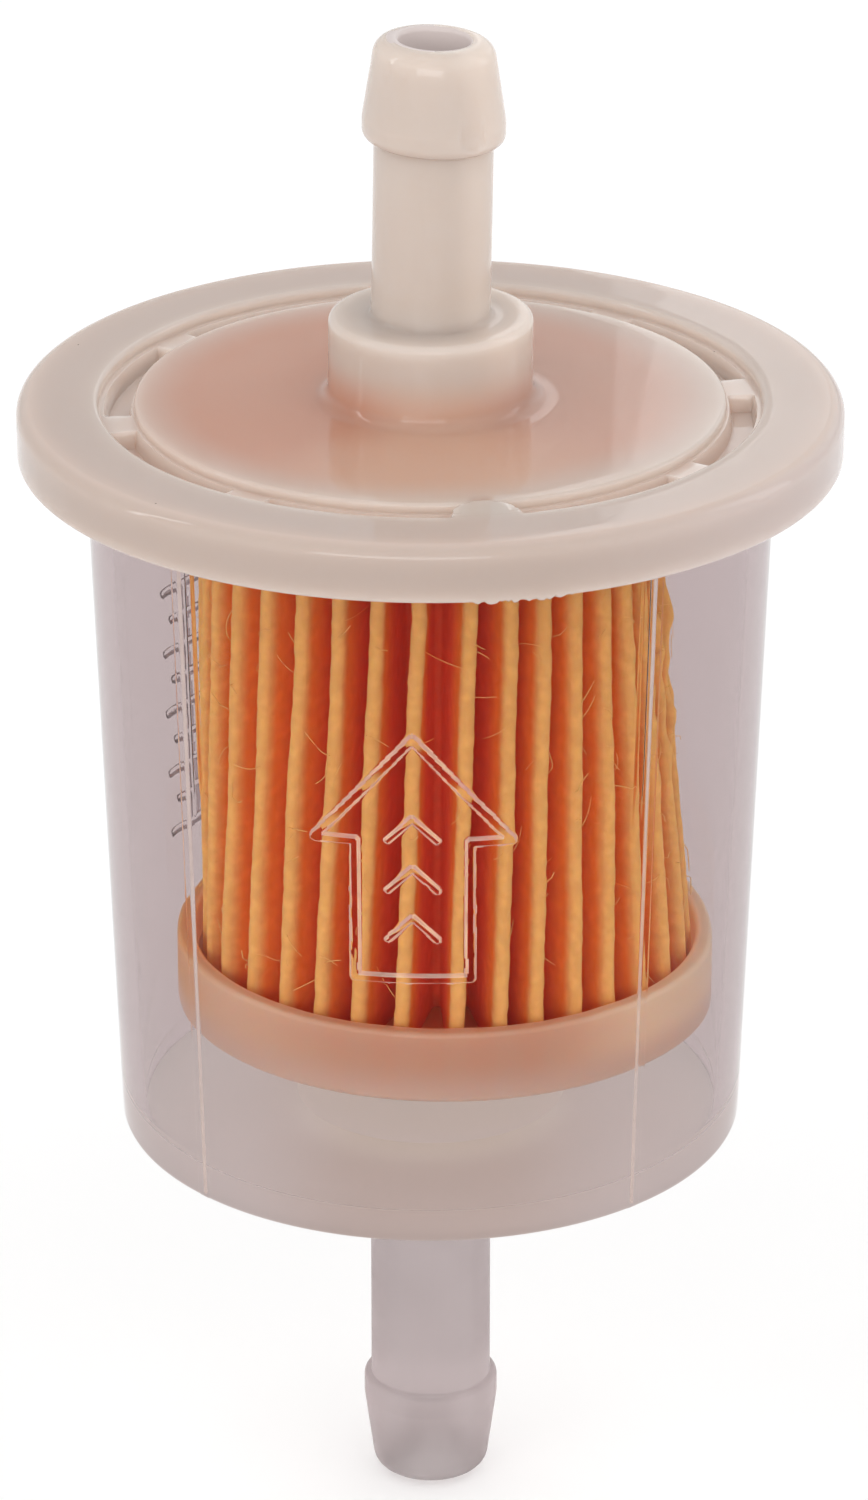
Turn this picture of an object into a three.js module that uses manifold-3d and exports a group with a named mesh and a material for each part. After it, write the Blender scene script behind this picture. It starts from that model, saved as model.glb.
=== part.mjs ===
// Inline fuel filter for a small engine: a clear bowl with the inlet spigot, a milky cap with the
// outlet spigot, and a pleated paper element potted between the cap and a lower end cap.
//
// Millimetres, +Z up. The origin is the centre of the inlet spigot's tip, and the outlet points up.
// The flow arrow faces -Y. Every round piece is turned about the Z axis.

import * as THREE from "three";
import { mergeVertices } from "three/addons/utils/BufferGeometryUtils.js";
import Module from "manifold-3d";

const wasm = await Module();
wasm.setup();

// ---------------------------------------------------------------------------------------------
// Driving dimensions
// ---------------------------------------------------------------------------------------------

const TURN_STEPS = 48; // flats round a large turned piece
const FILLET_STEPS = 2; // straight pieces in one fillet
const POCKET_STEPS = 7; // straight pieces in one pocket's arc
const SAME_POINT = 1e-4; // vertices this close are one
const BORE_R = 1.9; // fuel passage through both spigots

// Heights of the main levels
const FLOOR_UNDER_Z = 22.8; // underside of the bowl
const FLANGE_UNDER_Z = 62.1; // underside of the cap's flange, where it meets the bowl
const FLANGE_TOP_Z = 65.2;
const BOSS_TOP_Z = 69.8; // the outlet hose stops here
const OUTLET_TIP_Z = 85.15;

// Cap
const FLANGE_R = 22.25;
const BOSS_R = 5.5;
const WEB_T = 2.2; // the disc over the element
const WELL_R = 13.9; // the well that the element's upper end is potted into
const SKIRT_R = 14.85;
const SKIRT_UNDER_Z = 59.2;
const FLANGE_ROUND = 0.7; // rounding of the flange's upper edge
const BOSS_FILLET = 0.6; // where the boss meets the flange

// Drive pockets in the top of the cap, for the spin welder's tool
const DRIVE_RING_INNER_R = 15.9; // shallow ring in the flange, with the pockets in its floor
const DRIVE_RING_OUTER_R = 17.85;
const DRIVE_RING_DEPTH = 0.65;
const POCKET_COUNT = 8;
const POCKET_INNER_R = 16.05;
const POCKET_OUTER_R = 17.55;
const POCKET_DEPTH = 1.6; // below the flange's top
const POCKET_RIB_DEG = 8; // width of the rib between two pockets
const POCKET_RIB_AZIMUTH_DEG = 9.5;
const GATE_PAD_R = 1.9; // round pad beside the first rib, where the nylon was injected
const GATE_PAD_AT_R = 17.6;

// Bowl
const BOWL_TOP_R = 18.6;
const BOWL_FOOT_R = 17.2;
const WALL_T = 1.2;
const FLOOR_T = 1.3;
const FOOT_ROUND = 0.5; // rounding of the bowl's lower edge
const INNER_FOOT_ROUND = 0.7;
const TONGUE_T = 0.65; // rim of the bowl that is welded into the cap's groove
const TONGUE_TOP_Z = 63.15;
const WELD_BEAD_T = 0.25;
const WELD_GAP = 0.1;
const MOULD_LINE_DEG = [-46, 40, 134, -140]; // raised lines where the mould's four slides met
const MOULD_LINE_W = 0.5;
const MOULD_LINE_PROUD = 0.12;
const MOULD_LINE_END_GAP = 0.3; // from each end of a line to the flange or to the rounded foot

// Spigots: radii of the shank, the barb and the tip, the rounding of the barb's edge, and the barb's
// heights measured back from the tip
const OUTLET = { shankR: 3.2, barbR: 3.83, tipR: 3.1, edgeR: 0.55, widestAt: 4.35, shoulderAt: 5.5 };
const INLET = { shankR: 3.37, barbR: 3.77, tipR: 3.05, edgeR: 0.35, widestAt: 4.4, shoulderAt: 5.9 };

const TIP_ROUND = 0.8;
const ROOT_FILLET = 0.25; // where a shank meets the boss or the bowl
const EDGE_BREAK = 0.25; // rounding of every other moulded edge

// Raised marks on the outside of the bowl
const MARK_W = 0.5;
const MARK_PROUD = 0.28;
const MARK_SINK = 0.35; // how far a mark reaches into the wall, so that it joins it
const MARK_STEP = 1.2; // longest straight piece of a mark that bends round the wall
const ARROW_AZIMUTH_DEG = -3;
const ARROW = { baseZ: 38.9, shoulderZ: 46.9, tipZ: 52.9, halfShaft: 3.05, halfHead: 5.25 };
const CHEVRON = { count: 3, firstZ: 41.2, pitch: 2.9, halfWidth: 1.3, rise: 1.3, lineW: 0.4 };
const SCALE = { azimuthDeg: -131, count: 9, firstZ: 35.5, pitch: 1.8, long: 4.4, short: 2.6, lineW: 0.4 };

// Element
const PLEAT_COUNT = 35;
const FIRST_PLEAT_AZIMUTH_DEG = 5;
const PAPER_T = 0.35;
const PLEAT_TOP_R = 12.65;
const PLEAT_FOOT_R = 13.65;
const PLEAT_INNER_R = 7.0;
const FIN_HALF_W = 0.42; // half the width of a folded fin, over both layers of paper
const VALLEY_R = 0.45; // radius of the inner fold, to the middle of the paper
const FOLD_STEPS = 4;
const POTTING_T = 0.95;
const POTTING_INNER_R = 6.3;
const POTTING_OUTER_R = 13.75;
const SEAT_GAP = 0.05; // between pieces that rest on each other

const ELEMENT_LEAN = 0.8; // how far the element's lower end hangs off the axis, towards +X

const END_CAP_R = 14.85;
const END_CAP_WALL_T = 0.95;
const END_CAP_UNDER_Z = 30.1;
const END_CAP_FLOOR_T = 1.2;
const END_CAP_RIM_Z = 34.3;
const END_CAP_ROUND = 0.5; // rounding of its lower edge

const SEAM_T = 0.6; // strip that joins the two ends of the paper, in one valley
const SEAM_DEPTH = 1.5;
const SEAM_SET_BACK = 1.5; // from the pleats' tips to the middle of the strip
const SEAM_END_GAP = 3; // from each end of the paper to the strip
const SEAM_VALLEY = 8; // which valley it fills, counted from the first pleat

// Worked out from those
const WEB_UNDER_Z = FLANGE_TOP_Z - WEB_T;
const GROOVE_TOP_Z = TONGUE_TOP_Z + WELD_BEAD_T + WELD_GAP;
const PAPER_FOOT_Z = END_CAP_UNDER_Z + END_CAP_FLOOR_T + POTTING_T + 2 * SEAT_GAP;
const PAPER_TOP_Z = WEB_UNDER_Z - POTTING_T - 2 * SEAT_GAP;

// ---------------------------------------------------------------------------------------------
// Shape helpers
// ---------------------------------------------------------------------------------------------

// A direction in plan: azimuth 0 faces -Y and azimuth 90 faces +X.
function facing(azimuthDeg) {
  const a = THREE.MathUtils.degToRad(azimuthDeg);
  return new THREE.Vector2(Math.sin(a), -Math.cos(a));
}

// Turns a list of [radius, height, fillet] corners into points, with an arc at each filleted corner.
function filleted(corners) {
  const at = (i) => new THREE.Vector2(...corners[(i + corners.length) % corners.length]);
  return corners.flatMap(([r, z, fillet = 0], i) => {
    const corner = new THREE.Vector2(r, z);
    if (!fillet) return [corner];
    const back = at(i - 1).sub(corner).normalize();
    const ahead = at(i + 1).sub(corner).normalize();
    const half = Math.acos(back.dot(ahead)) / 2;
    const centre = back.clone().add(ahead).normalize().multiplyScalar(fillet / Math.sin(half)).add(corner);
    const start = back.multiplyScalar(fillet / Math.tan(half)).add(corner).sub(centre);
    const end = ahead.multiplyScalar(fillet / Math.tan(half)).add(corner).sub(centre);
    const sweep = Math.atan2(start.cross(end), start.dot(end));
    return Array.from({ length: FILLET_STEPS + 1 }, (_, k) =>
      start.clone().rotateAround(new THREE.Vector2(), (sweep * k) / FILLET_STEPS).add(centre),
    );
  });
}

// A closed surface from vertices and triangles, as a solid with its faces pointing out.
function solidFrom(positions, triangles) {
  const make = (triVerts) =>
    new wasm.Manifold(
      new wasm.Mesh({ numProp: 3, vertProperties: Float32Array.from(positions), triVerts }),
    );
  const solid = make(Uint32Array.from(triangles));
  return solid.volume() > 0 ? solid : make(Uint32Array.from(triangles).reverse());
}

function solidOf(geometry) {
  const bare = new THREE.BufferGeometry().setAttribute("position", geometry.getAttribute("position"));
  if (geometry.index) bare.setIndex(geometry.index);
  const merged = mergeVertices(bare, SAME_POINT);
  const index = merged.index.array;
  const triangles = [];
  for (let i = 0; i < index.length; i += 3) {
    const [a, b, c] = index.subarray(i, i + 3);
    if (a !== b && b !== c && c !== a) triangles.push(a, b, c);
  }
  return solidFrom(merged.attributes.position.array, triangles);
}

function geometryOf(solid) {
  const mesh = solid.getMesh();
  return new THREE.BufferGeometry()
    .setAttribute("position", new THREE.BufferAttribute(mesh.vertProperties, 3))
    .setIndex(new THREE.BufferAttribute(mesh.triVerts, 1));
}

// A closed outline of [radius, height, fillet] corners, turned about the Z axis.
function turned(corners, steps = TURN_STEPS) {
  const points = filleted(corners);
  if (corners[0][0] > 0) points.push(points[0].clone());
  return solidOf(new THREE.LatheGeometry(points, steps).rotateX(Math.PI / 2));
}

// Part of a ring, between two radii, two azimuths and two heights.
function ringSector(innerR, outerR, fromDeg, toDeg, fromZ, toZ) {
  const from = THREE.MathUtils.degToRad(fromDeg - 90);
  const to = THREE.MathUtils.degToRad(toDeg - 90);
  const shape = new THREE.Shape();
  shape.absarc(0, 0, outerR, from, to, false);
  shape.absarc(0, 0, innerR, to, from, true);
  const options = { depth: toZ - fromZ, bevelEnabled: false, curveSegments: POCKET_STEPS };
  return solidOf(new THREE.ExtrudeGeometry(shape, options).translate(0, 0, fromZ));
}

// Splits each edge of a path of [along, height] points into pieces no longer than MARK_STEP.
function subdivided(path, closed) {
  const points = path.map((p) => new THREE.Vector2(...p));
  const fine = [];
  const edges = closed ? points.length : points.length - 1;
  for (let i = 0; i < edges; i++) {
    const next = points[(i + 1) % points.length];
    const pieces = Math.ceil(points[i].distanceTo(next) / MARK_STEP);
    for (let k = 0; k < pieces; k++) fine.push(points[i].clone().lerp(next, k / pieces));
  }
  if (!closed) fine.push(points.at(-1));
  return fine;
}

// A band of constant width along a path on a round wall. wallR(z) is the wall's radius, and the band
// runs from near to far of it, both counted outwards. Where the path turns, its sides are mitred.
function bandOnWall(path, { closed = false, width, azimuthDeg, wallR, near, far }) {
  const points = subdivided(path, closed);
  const n = points.length;
  const positions = [];
  const triangles = [];
  points.forEach((p, i) => {
    const before = closed ? points[(i + n - 1) % n] : points[Math.max(i - 1, 0)];
    const after = closed ? points[(i + 1) % n] : points[Math.min(i + 1, n - 1)];
    const into = p.clone().sub(before).normalize();
    const out = after.clone().sub(p).normalize();
    if (into.lengthSq() === 0) into.copy(out);
    if (out.lengthSq() === 0) out.copy(into);
    const across = into.clone().add(out).normalize().rotateAround(new THREE.Vector2(), Math.PI / 2);
    const reach = width / 2 / Math.cos(into.angleTo(out) / 2);
    for (const [side, proud] of [[1, near], [1, far], [-1, far], [-1, near]]) {
      const edge = p.clone().addScaledVector(across, side * reach);
      const turnDeg = THREE.MathUtils.radToDeg(edge.x / wallR(p.y));
      const flat = facing(azimuthDeg + turnDeg).multiplyScalar(wallR(edge.y) + proud);
      positions.push(flat.x, flat.y, edge.y);
    }
  });
  for (let i = 0; i < (closed ? n : n - 1); i++) {
    for (let k = 0; k < 4; k++) {
      const [a, b] = [4 * i + k, 4 * i + ((k + 1) % 4)];
      const [c, d] = [4 * ((i + 1) % n) + k, 4 * ((i + 1) % n) + ((k + 1) % 4)];
      triangles.push(a, c, d, a, d, b);
    }
  }
  const last = 4 * (n - 1);
  if (!closed) triangles.push(0, 1, 2, 0, 2, 3, last, last + 2, last + 1, last, last + 3, last + 2);
  return solidFrom(positions, triangles);
}

function spaced(count, first, pitch) {
  return Array.from({ length: count }, (_, i) => first + i * pitch);
}

// ---------------------------------------------------------------------------------------------
// Pieces
// ---------------------------------------------------------------------------------------------

// A hose spigot's outline from its root to the bore's mouth, with a barb near the tip. out is 1
// where the spigot points up and -1 where it points down.
function spigotCorners({ shankR, barbR, tipR, edgeR, widestAt, shoulderAt }, rootZ, tipZ, out) {
  return [
    [shankR, rootZ, ROOT_FILLET],
    [shankR, tipZ - out * shoulderAt],
    [barbR, tipZ - out * shoulderAt, edgeR],
    [barbR, tipZ - out * widestAt],
    [tipR, tipZ, TIP_ROUND],
    [BORE_R, tipZ, EDGE_BREAK],
  ];
}

function makeCap() {
  const grooveInnerR = BOWL_TOP_R - TONGUE_T - WELD_GAP;
  const grooveOuterR = BOWL_TOP_R + WELD_GAP;
  const driveRingZ = FLANGE_TOP_Z - DRIVE_RING_DEPTH;
  const body = turned([
    [BORE_R, WEB_UNDER_Z],
    [WELL_R, WEB_UNDER_Z],
    [WELL_R, SKIRT_UNDER_Z],
    [SKIRT_R, SKIRT_UNDER_Z],
    [SKIRT_R, FLANGE_UNDER_Z],
    [grooveInnerR, FLANGE_UNDER_Z],
    [grooveInnerR, GROOVE_TOP_Z],
    [grooveOuterR, GROOVE_TOP_Z],
    [grooveOuterR, FLANGE_UNDER_Z],
    [FLANGE_R, FLANGE_UNDER_Z, EDGE_BREAK],
    [FLANGE_R, FLANGE_TOP_Z, FLANGE_ROUND],
    [DRIVE_RING_OUTER_R, FLANGE_TOP_Z],
    [DRIVE_RING_OUTER_R, driveRingZ],
    [DRIVE_RING_INNER_R, driveRingZ],
    [DRIVE_RING_INNER_R, FLANGE_TOP_Z],
    [BOSS_R, FLANGE_TOP_Z, BOSS_FILLET],
    [BOSS_R, BOSS_TOP_Z, EDGE_BREAK],
    ...spigotCorners(OUTLET, BOSS_TOP_Z, OUTLET_TIP_Z, 1),
  ]);
  const turn = 360 / POCKET_COUNT;
  const floorZ = FLANGE_TOP_Z - POCKET_DEPTH;
  const pocketed = spaced(POCKET_COUNT, POCKET_RIB_AZIMUTH_DEG, turn).reduce((cap, rib) => {
    const [from, to] = [rib + POCKET_RIB_DEG / 2, rib + turn - POCKET_RIB_DEG / 2];
    const pocket = ringSector(POCKET_INNER_R, POCKET_OUTER_R, from, to, floorZ, FLANGE_TOP_Z + 1);
    return cap.subtract(pocket);
  }, body);
  const padAt = facing(POCKET_RIB_AZIMUTH_DEG).multiplyScalar(GATE_PAD_AT_R);
  const pad = new THREE.CylinderGeometry(GATE_PAD_R, GATE_PAD_R, POCKET_DEPTH, TURN_STEPS / 2)
    .rotateX(Math.PI / 2)
    .translate(padAt.x, padAt.y, FLANGE_TOP_Z - POCKET_DEPTH / 2);
  return pocketed.add(solidOf(pad));
}

// Radius of the bowl's outside, which has a draft so that it leaves the mould.
function bowlR(z) {
  const share = (z - FLOOR_UNDER_Z) / (FLANGE_UNDER_Z - FLOOR_UNDER_Z);
  return THREE.MathUtils.lerp(BOWL_FOOT_R, BOWL_TOP_R, share);
}

function bowlInnerR(z) {
  return bowlR(z) - WALL_T;
}

// Flow arrow with chevrons in its shaft, and a plain scale on the far side.
function bowlMarks() {
  const onOutside = { wallR: bowlR, near: -MARK_SINK, far: MARK_PROUD };
  const { baseZ, shoulderZ, tipZ, halfShaft, halfHead } = ARROW;
  const rightSide = [[halfShaft, baseZ], [halfShaft, shoulderZ], [halfHead, shoulderZ]];
  const leftSide = rightSide.map(([s, z]) => [-s, z]).reverse();
  const arrowPath = [...rightSide, [0, tipZ], ...leftSide];
  const arrow = bandOnWall(arrowPath, {
    ...onOutside, closed: true, width: MARK_W, azimuthDeg: ARROW_AZIMUTH_DEG,
  });
  const chevrons = spaced(CHEVRON.count, CHEVRON.firstZ, CHEVRON.pitch).map((z) =>
    bandOnWall([[-CHEVRON.halfWidth, z], [0, z + CHEVRON.rise], [CHEVRON.halfWidth, z]], {
      ...onOutside, width: CHEVRON.lineW, azimuthDeg: ARROW_AZIMUTH_DEG,
    }),
  );
  const ticks = spaced(SCALE.count, SCALE.firstZ, SCALE.pitch).map((z, i) => {
    const half = (i % 2 ? SCALE.short : SCALE.long) / 2;
    return bandOnWall([[-half, z], [half, z]], {
      ...onOutside, width: SCALE.lineW, azimuthDeg: SCALE.azimuthDeg,
    });
  });
  const spineTopZ = SCALE.firstZ + (SCALE.count - 1) * SCALE.pitch;
  const spine = bandOnWall([[0, SCALE.firstZ], [0, spineTopZ]], {
    ...onOutside, width: SCALE.lineW, azimuthDeg: SCALE.azimuthDeg,
  });
  return [arrow, ...chevrons, ...ticks, spine];
}

function mouldLines() {
  const footZ = FLOOR_UNDER_Z + FOOT_ROUND + MOULD_LINE_END_GAP;
  const topZ = FLANGE_UNDER_Z - MOULD_LINE_END_GAP;
  return MOULD_LINE_DEG.map((azimuthDeg) =>
    bandOnWall([[0, footZ], [0, topZ]], {
      width: MOULD_LINE_W, azimuthDeg, wallR: bowlR, near: -MARK_SINK, far: MOULD_LINE_PROUD,
    }),
  );
}

function makeBowl() {
  const floorZ = FLOOR_UNDER_Z + FLOOR_T;
  const ledgeZ = FLANGE_UNDER_Z - SEAT_GAP;
  const body = turned([
    [BORE_R, floorZ],
    [bowlInnerR(floorZ), floorZ, INNER_FOOT_ROUND],
    [bowlInnerR(FLANGE_UNDER_Z), ledgeZ],
    [BOWL_TOP_R - TONGUE_T, ledgeZ],
    [BOWL_TOP_R - TONGUE_T, TONGUE_TOP_Z],
    [BOWL_TOP_R, TONGUE_TOP_Z],
    [BOWL_TOP_R, ledgeZ],
    [BOWL_FOOT_R, FLOOR_UNDER_Z, FOOT_ROUND],
    ...spigotCorners(INLET, FLOOR_UNDER_Z, 0, -1),
  ]);
  return [...bowlMarks(), ...mouldLines()].reduce((bowl, piece) => bowl.add(piece), body);
}

function makeWeldBead() {
  const [inner, outer] = [BOWL_TOP_R - TONGUE_T, BOWL_TOP_R];
  const [underZ, topZ] = [TONGUE_TOP_Z + SEAT_GAP, GROOVE_TOP_Z - SEAT_GAP];
  return turned([[inner, underZ], [outer, underZ], [outer, topZ], [inner, topZ]]);
}

function makeEndCap() {
  const floorZ = END_CAP_UNDER_Z + END_CAP_FLOOR_T;
  return turned([
    [0, END_CAP_UNDER_Z],
    [END_CAP_R, END_CAP_UNDER_Z, END_CAP_ROUND],
    [END_CAP_R, END_CAP_RIM_Z, EDGE_BREAK],
    [END_CAP_R - END_CAP_WALL_T, END_CAP_RIM_Z, EDGE_BREAK],
    [END_CAP_R - END_CAP_WALL_T, floorZ],
    [0, floorZ],
  ]);
}

function makePotting(underZ) {
  const topZ = underZ + POTTING_T;
  return turned([
    [POTTING_INNER_R, underZ],
    [POTTING_OUTER_R, underZ],
    [POTTING_OUTER_R, topZ],
    [POTTING_INNER_R, topZ],
  ]);
}

// The middle of the paper in plan: a narrow fin per pleat, with a round fold at its tip and a round
// valley on each side.
function pleatPath(tipR) {
  const foldR = FIN_HALF_W - PAPER_T / 2;
  const arc = (centreR, radius, azimuthDeg, fromDeg, toDeg) =>
    spaced(FOLD_STEPS + 1, 0, 1 / FOLD_STEPS).map((share) => {
      const a = THREE.MathUtils.degToRad(THREE.MathUtils.lerp(fromDeg, toDeg, share));
      const out = facing(azimuthDeg).multiplyScalar(centreR + radius * Math.cos(a));
      return out.addScaledVector(facing(azimuthDeg + 90), radius * Math.sin(a));
    });
  const turn = 360 / PLEAT_COUNT;
  return spaced(PLEAT_COUNT, FIRST_PLEAT_AZIMUTH_DEG, turn).flatMap((azimuth) => [
    ...arc(tipR - PAPER_T / 2 - foldR, foldR, azimuth, -90, 90),
    ...arc(PLEAT_INNER_R + PAPER_T / 2 + VALLEY_R, VALLEY_R, azimuth + turn / 2, 270, 90),
  ]);
}

// How far the element's axis is off the filter's axis at height z.
function leanAt(z) {
  return (ELEMENT_LEAN * (PAPER_TOP_Z - z)) / (PAPER_TOP_Z - PAPER_FOOT_Z);
}

// The pleated paper: a closed wall PAPER_T thick, whose tips spread a little towards the foot.
function makePaper() {
  const levels = [[PAPER_FOOT_Z, PLEAT_FOOT_R], [PAPER_TOP_Z, PLEAT_TOP_R]];
  const positions = [];
  const triangles = [];
  for (const [z, tipR] of levels) {
    const path = pleatPath(tipR);
    const n = path.length;
    for (const side of [0.5, -0.5]) {
      path.forEach((p, i) => {
        const along = path[(i + 1) % n].clone().sub(path[(i + n - 1) % n]).normalize();
        const out = new THREE.Vector2(along.y, -along.x).multiplyScalar(side * PAPER_T);
        positions.push(p.x + out.x + leanAt(z), p.y + out.y, z);
      });
    }
  }
  const n = pleatPath(PLEAT_TOP_R).length;
  // Four loops: the foot's outer and inner face, then the top's
  for (const [lower, upper] of [[0, 2], [2, 3], [3, 1], [1, 0]]) {
    for (let i = 0; i < n; i++) {
      const j = (i + 1) % n;
      const [a, b, c, d] = [lower * n + i, lower * n + j, upper * n + j, upper * n + i];
      triangles.push(a, b, c, a, c, d);
    }
  }
  return solidFrom(positions, triangles);
}

// A strip that stands in one valley and joins the two ends of the paper.
function makeSeam() {
  const azimuth = FIRST_PLEAT_AZIMUTH_DEG + ((SEAM_VALLEY - 0.5) * 360) / PLEAT_COUNT;
  const height = PAPER_TOP_Z - PAPER_FOOT_Z - 2 * SEAM_END_GAP;
  const middleZ = (PAPER_TOP_Z + PAPER_FOOT_Z) / 2;
  const lean = new THREE.Matrix4().makeShear(0, 0, 0, 0, leanAt(1) - leanAt(0), 0);
  const strip = new THREE.BoxGeometry(SEAM_T, SEAM_DEPTH, height)
    .translate(0, SEAM_SET_BACK - PLEAT_TOP_R, 0)
    .rotateZ(THREE.MathUtils.degToRad(azimuth))
    .applyMatrix4(lean)
    .translate(leanAt(middleZ), 0, middleZ);
  return solidOf(strip);
}

// ---------------------------------------------------------------------------------------------
// Assembly
// ---------------------------------------------------------------------------------------------

const MILKY_NYLON = { color: 0xd0c2ba, roughness: 0.38, metalness: 0 };
const CLEAR_NYLON = { color: 0xc4b6b8, roughness: 0.12, metalness: 0, transparent: true, opacity: 0.35 };
const END_CAP_NYLON = { color: 0xc79a80, roughness: 0.45, metalness: 0 };
const ORANGE_PAPER = { color: 0xd9762e, roughness: 0.95, metalness: 0 };
const AMBER_POTTING = { color: 0xc98a4e, roughness: 0.5, metalness: 0 };

function piece(name, solid, finish) {
  const mesh = new THREE.Mesh(geometryOf(solid), new THREE.MeshStandardMaterial(finish));
  mesh.name = name;
  return mesh;
}

const filter = new THREE.Group();
filter.name = "inline_fuel_filter";

const housing = new THREE.Group();
housing.add(
  piece("outlet_cap", makeCap(), MILKY_NYLON),
  piece("clear_bowl", makeBowl(), CLEAR_NYLON),
  piece("weld_bead", makeWeldBead(), MILKY_NYLON),
);

const paper = new THREE.Group();
paper.add(
  piece("pleated_paper", makePaper(), ORANGE_PAPER),
  piece("paper_seam_strip", makeSeam(), AMBER_POTTING),
  piece("upper_potting_ring", makePotting(WEB_UNDER_Z - SEAT_GAP - POTTING_T), AMBER_POTTING),
);

const lowerEnd = new THREE.Group();
lowerEnd.add(
  piece("lower_end_cap", makeEndCap(), END_CAP_NYLON),
  piece("lower_potting_ring", makePotting(END_CAP_UNDER_Z + END_CAP_FLOOR_T + SEAT_GAP), AMBER_POTTING),
);
lowerEnd.position.x = ELEMENT_LEAN;

filter.add(housing, paper, lowerEnd);

export default filter;
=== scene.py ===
import math
import random

import bmesh
import bpy
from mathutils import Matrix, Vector, noise


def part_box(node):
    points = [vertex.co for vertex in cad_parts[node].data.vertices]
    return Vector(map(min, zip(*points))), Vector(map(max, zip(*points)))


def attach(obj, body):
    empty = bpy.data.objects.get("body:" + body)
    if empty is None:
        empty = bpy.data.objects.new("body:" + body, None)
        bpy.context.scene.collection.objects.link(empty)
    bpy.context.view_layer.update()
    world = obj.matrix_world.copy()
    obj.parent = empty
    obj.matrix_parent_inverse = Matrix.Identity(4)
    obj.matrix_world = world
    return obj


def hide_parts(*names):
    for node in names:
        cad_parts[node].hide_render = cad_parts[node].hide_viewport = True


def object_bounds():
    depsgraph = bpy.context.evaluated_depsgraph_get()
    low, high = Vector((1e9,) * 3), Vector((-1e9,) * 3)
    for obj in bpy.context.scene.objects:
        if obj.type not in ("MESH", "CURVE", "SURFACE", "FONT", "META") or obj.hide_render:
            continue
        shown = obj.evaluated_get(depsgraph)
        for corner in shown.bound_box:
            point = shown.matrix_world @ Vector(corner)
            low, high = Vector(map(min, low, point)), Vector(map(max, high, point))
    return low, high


# Looks of the inline fuel filter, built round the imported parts. Lengths here are millimetres, and
# Blender's are metres. Azimuth 0 faces -Y, where the camera is, and azimuth 90 faces +X.

MM = 0.001

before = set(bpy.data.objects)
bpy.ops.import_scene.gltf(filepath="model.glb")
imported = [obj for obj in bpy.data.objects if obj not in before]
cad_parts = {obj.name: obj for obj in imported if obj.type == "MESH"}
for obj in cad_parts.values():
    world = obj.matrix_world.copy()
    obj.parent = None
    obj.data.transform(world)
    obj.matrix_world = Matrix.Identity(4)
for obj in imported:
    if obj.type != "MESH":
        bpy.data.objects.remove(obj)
CAD_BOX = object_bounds()


def box_mm(node):
    low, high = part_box(node)
    return Vector(low) / MM, Vector(high) / MM


def half_width(box):
    low, high = box
    return (high.y - low.y) / 2


# ---------------------------------------------------------------------------------------------
# Sizes from the frame, and the details that the frame's boxes don't hold
# ---------------------------------------------------------------------------------------------

CAP = box_mm("outlet_cap")
BOWL = box_mm("clear_bowl")
PAPER = box_mm("pleated_paper")
END_CAP = box_mm("lower_end_cap")
UPPER_POTTING = box_mm("upper_potting_ring")
LOWER_POTTING = box_mm("lower_potting_ring")
SEAM = box_mm("paper_seam_strip")

BORE_R = 1.9
OUTLET_TIP_Z = CAP[1].z
FLANGE_R = half_width(CAP)
FLANGE_TOP_Z = OUTLET_TIP_Z - 19.95
FLANGE_T = 3.1
FLANGE_UNDER_Z = FLANGE_TOP_Z - FLANGE_T
BOSS_R = 5.5
BOSS_TOP_Z = OUTLET_TIP_Z - 15.35
WEB_UNDER_Z = FLANGE_TOP_Z - 2.2
WELL_R = 13.9
SKIRT_R = 14.85
SKIRT_UNDER_Z = CAP[0].z

DRIVE_RING_INNER_R = 15.9
DRIVE_RING_OUTER_R = 17.85
DRIVE_RING_DEPTH = 0.65
DRIVE_RING_MIDDLE_R = (DRIVE_RING_INNER_R + DRIVE_RING_OUTER_R) / 2
DRIVE_RING_HALF_W = (DRIVE_RING_OUTER_R - DRIVE_RING_INNER_R) / 2
POCKET_COUNT = 8
POCKET_INNER_R = 16.05
POCKET_OUTER_R = 17.55
POCKET_DEPTH = 1.6
POCKET_RIB_DEG = 8
POCKET_RIB_AZIMUTH = 9.5
GATE_PAD_R = 1.9
GATE_PAD_AT_R = 17.6
GATE_PAD_EDGE = 0.12
GATE_PAD_FILL = 0.98 # how much of the drive ring's depth the pad fills

BOWL_TOP_R = half_width(BOWL)
BOWL_FOOT_R = BOWL_TOP_R - 1.4
WALL_T = 1.2
TONGUE_T = 0.65
TONGUE_TOP_Z = BOWL[1].z
FLOOR_UNDER_Z = 22.8
FLOOR_T = 1.3
INNER_FOOT_ROUND = 0.7
CLOUDY_TOP_R = 7.5 # further out than this only the underside of the bowl's floor is cloudy

OUTLET = dict(shank_r=3.2, barb_r=3.83, tip_r=3.15, edge_r=0.6, widest_at=4.35, shoulder_at=5.5)
INLET = dict(shank_r=3.37, barb_r=3.77, tip_r=3.15, edge_r=0.38, widest_at=4.6, shoulder_at=5.9)
TIP_ROUND = 0.95

MOULD_LINE_AZIMUTHS = (-46, 40, 134, -140)
MOULD_LINE_HALF_W = 0.33
MOULD_LINE_PROUD = 0.13

MARK_HALF_W = 0.31
MARK_PROUD = 0.26
ARROW_AZIMUTH = -3
ARROW = dict(base=38.9, shoulder=46.9, tip=52.9, half_shaft=3.05, half_head=5.25)
CHEVRONS = dict(count=3, first=41.2, pitch=2.9, half_w=1.3, rise=1.3)
TICKS = dict(azimuth=-128, count=9, first=35.5, pitch=1.8, long=4.4, short=2.6)

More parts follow.
